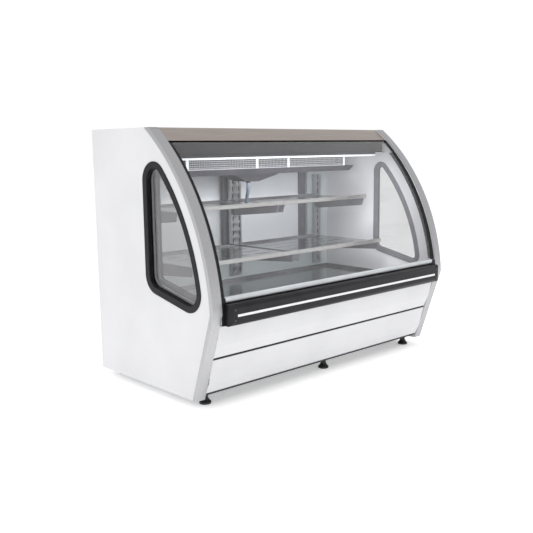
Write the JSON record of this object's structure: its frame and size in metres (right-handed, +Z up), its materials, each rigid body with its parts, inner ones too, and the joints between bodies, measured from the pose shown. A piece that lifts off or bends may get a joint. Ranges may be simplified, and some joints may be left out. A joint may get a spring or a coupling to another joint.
{
  "type": "refrigerated deli case",
  "caption": "Curved-glass refrigerated deli case with slotted shelves, overhead coil, tilting front glass, sliding rear doors, bumper rail and levelling feet.",
  "frame": {"origin": "floor point under the middle of the case", "axes": "+X along the case to the customer's right, -Y towards the customer, +Z up"},
  "size_m": [1.5, 0.858, 1.118],
  "materials": {
    "white_paint": "gloss powder coat",
    "trim_aluminium": "satin anodised",
    "canopy_steel": "brushed",
    "shelf_steel": "polished",
    "standard_steel": "zinc plated",
    "bracket_paint": "grey paint",
    "rail_aluminium": "bright anodised",
    "liner": "light grey liner",
    "door_frame_plastic": "moulded",
    "door_panel_plastic": "light grey panel",
    "window_frame_plastic": "moulded grey",
    "black_rubber": "extruded",
    "black_plastic": "moulded",
    "foot_plastic": "moulded",
    "insert": "gloss",
    "lamp_plastic": "opal",
    "clear_glass": "clear tempered",
    "hose": "translucent vinyl",
    "wire": "coated wire",
    "coil": "finned",
    "frame_paint": "black paint",
    "compressor_paint": "black paint",
    "fan_plastic": "moulded",
    "copper": "copper tube",
    "screw_steel": "plated"
  },
  "bodies": {
    "case": {"base_rails": "frame_paint", "base_crossmembers": "frame_paint", "end_panel_left": "white_paint", "end_panel_right": "white_paint", "end_trim_left": "trim_aluminium", "end_trim_right": "trim_aluminium", "window_gaskets": "black_rubber", "window_panes": "clear_glass", "window_frames": "window_frame_plastic", "tub": "liner", "deck_pan": "shelf_steel", "top_panel": "liner", "canopy": "canopy_steel", "header_fascia": "bracket_paint", "lamp": "lamp_plastic", "guard_straps": "lamp_plastic", "evaporator_hood": "bracket_paint", "evaporator_coil": "coil", "evaporator_guard": "wire", "drain_pan": "bracket_paint", "drain_hose": "hose", "drain_fitting": "lamp_plastic", "standards": "standard_steel", "shelf_brackets": "bracket_paint", "shelves_upper": "shelf_steel", "shelves_lower": "shelf_steel", "shelf_rails": "rail_aluminium", "hinge_blocks": "black_plastic", "glass_seals": "black_rubber", "bumper": "black_plastic", "bumper_caps": "black_plastic", "bumper_insert": "insert", "upper_front_panel": "white_paint", "lower_front_panel": "white_paint", "door_tracks": "trim_aluminium", "rear_posts": "liner", "service_panel": "white_paint", "controller": "black_plastic", "cord_gland": "black_plastic", "unit_tray": "standard_steel", "compressor": "compressor_paint", "condenser": "coil", "fan_motor": "compressor_paint", "refrigerant_lines": "copper", "screws": "screw_steel"},
    "front_glass_door": {"front_glass": "clear_glass", "glass_edge_strips": "black_rubber", "glass_bottom_rail": "rail_aluminium"},
    "door_left": {"door_left_frame": "door_frame_plastic", "door_left_panel": "door_panel_plastic"},
    "door_right": {"door_right_frame": "door_frame_plastic", "door_right_panel": "door_panel_plastic"},
    "rocker": {"light_switch": "black_plastic"},
    "fan": {"condenser_fan": "fan_plastic"},
    "foot_front_left_body": {"foot_front_left": "foot_plastic"},
    "foot_front_middle_body": {"foot_front_middle": "foot_plastic"},
    "foot_front_right_body": {"foot_front_right": "foot_plastic"},
    "foot_rear_left_body": {"foot_rear_left": "foot_plastic"},
    "foot_rear_middle_body": {"foot_rear_middle": "foot_plastic"},
    "foot_rear_right_body": {"foot_rear_right": "foot_plastic"}
  },
  "joints": [
    {"name": "front_glass_tilt", "type": "hinge", "parent": "case", "child": "front_glass_door", "pos_m": [0, -0.3801, 0.452], "axis": [1, 0, 0], "range_deg": [0, 28]},
    {"name": "door_left_slide", "type": "slide", "parent": "case", "child": "door_left", "axis": [1, 0, 0], "range_m": [0, 0.487]},
    {"name": "door_right_slide", "type": "slide", "parent": "case", "child": "door_right", "axis": [-1, 0, 0], "range_m": [0, 0.487]},
    {"name": "light_switch_rock", "type": "hinge", "parent": "case", "child": "rocker", "pos_m": [-0.499, 0.421, 0.238], "axis": [-1, 0, 0], "range_deg": [0, 14]},
    {"name": "condenser_fan_spin", "type": "hinge", "parent": "case", "child": "fan", "pos_m": [0.33, 0.329, 0.196], "axis": [0, 1, 0], "continuous": true},
    {"name": "foot_front_left_turn", "type": "hinge", "parent": "case", "child": "foot_front_left_body", "pos_m": [-0.664, -0.226, 0.03], "axis": [0, 0, 1], "continuous": true},
    {"name": "foot_front_middle_turn", "type": "hinge", "parent": "case", "child": "foot_front_middle_body", "pos_m": [0.048, -0.226, 0.03], "axis": [0, 0, 1], "continuous": true},
    {"name": "foot_front_right_turn", "type": "hinge", "parent": "case", "child": "foot_front_right_body", "pos_m": [0.664, -0.226, 0.03], "axis": [0, 0, 1], "continuous": true},
    {"name": "foot_rear_left_turn", "type": "hinge", "parent": "case", "child": "foot_rear_left_body", "pos_m": [-0.664, 0.373, 0.03], "axis": [0, 0, 1], "continuous": true},
    {"name": "foot_rear_middle_turn", "type": "hinge", "parent": "case", "child": "foot_rear_middle_body", "pos_m": [0.048, 0.373, 0.03], "axis": [0, 0, 1], "continuous": true},
    {"name": "foot_rear_right_turn", "type": "hinge", "parent": "case", "child": "foot_rear_right_body", "pos_m": [0.664, 0.373, 0.03], "axis": [0, 0, 1], "continuous": true}
  ]
}
